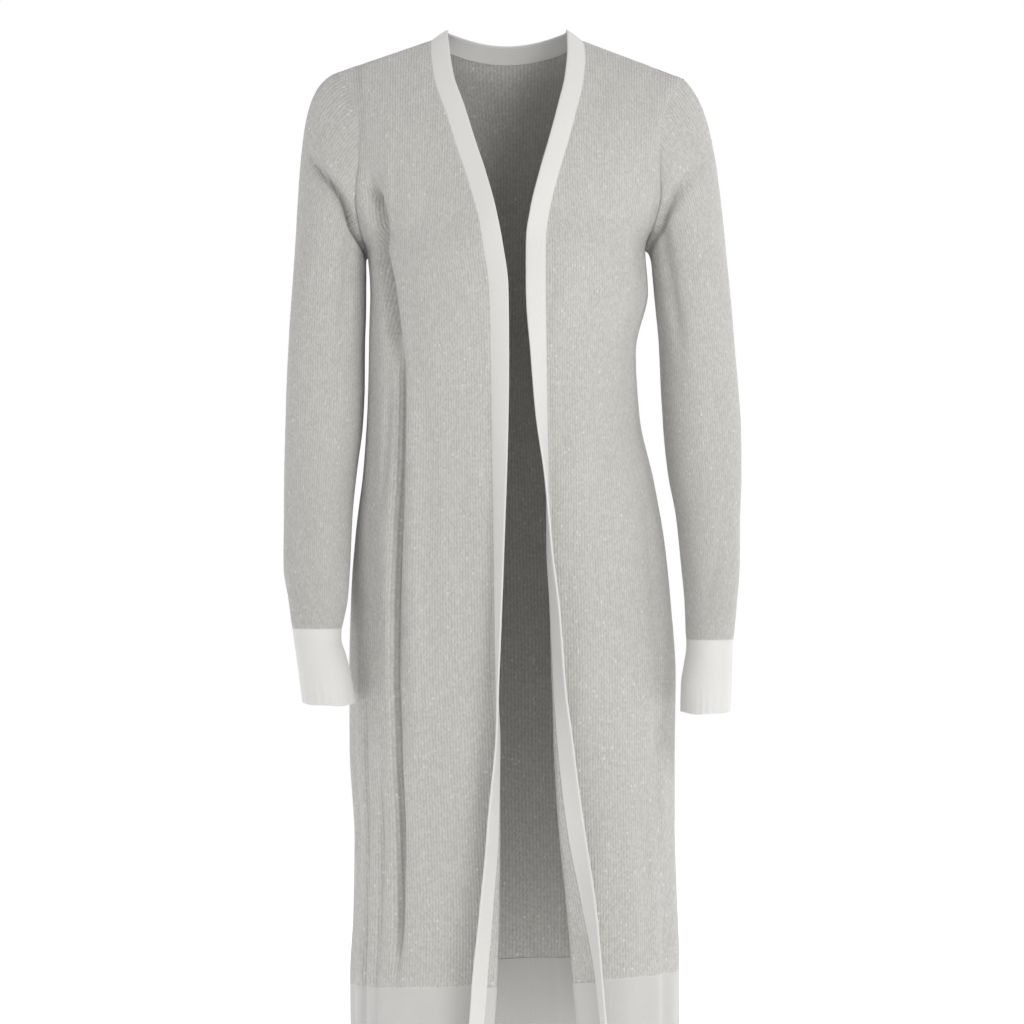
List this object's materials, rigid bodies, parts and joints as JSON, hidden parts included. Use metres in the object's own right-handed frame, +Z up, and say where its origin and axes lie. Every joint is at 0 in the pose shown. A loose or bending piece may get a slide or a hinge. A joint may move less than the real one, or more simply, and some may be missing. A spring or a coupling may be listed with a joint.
{
  "type": "long open-front knitted cardigan",
  "caption": "Long open-front cardigan in fine rib knit with a smooth front band, deep cuffs and a deep hem band, kept in its hollow worn form.",
  "frame": {"origin": "centre of the neck, level with the highest points of the shoulder seams, where the wearer's neck and shoulders hold the garment", "axes": "+X to the wearer's left, -Y to the front, +Z up along the body"},
  "size_m": [0.5006, 0.2788, 1.1305],
  "materials": {
    "rib_knit": "fine rib knit in silver grey with a metallic thread",
    "trim_knit": "smooth matt off-white knit"
  },
  "bodies": {
    "root": {"back": "rib_knit", "front_left": "rib_knit", "front_right": "rib_knit", "sleeve_left": "rib_knit", "sleeve_right": "rib_knit", "cuff_left": "trim_knit", "cuff_right": "trim_knit", "hem_back": "trim_knit", "hem_front_left": "trim_knit", "hem_front_right": "trim_knit", "band_left": "trim_knit", "band_right": "trim_knit"}
  },
  "joints": []
}
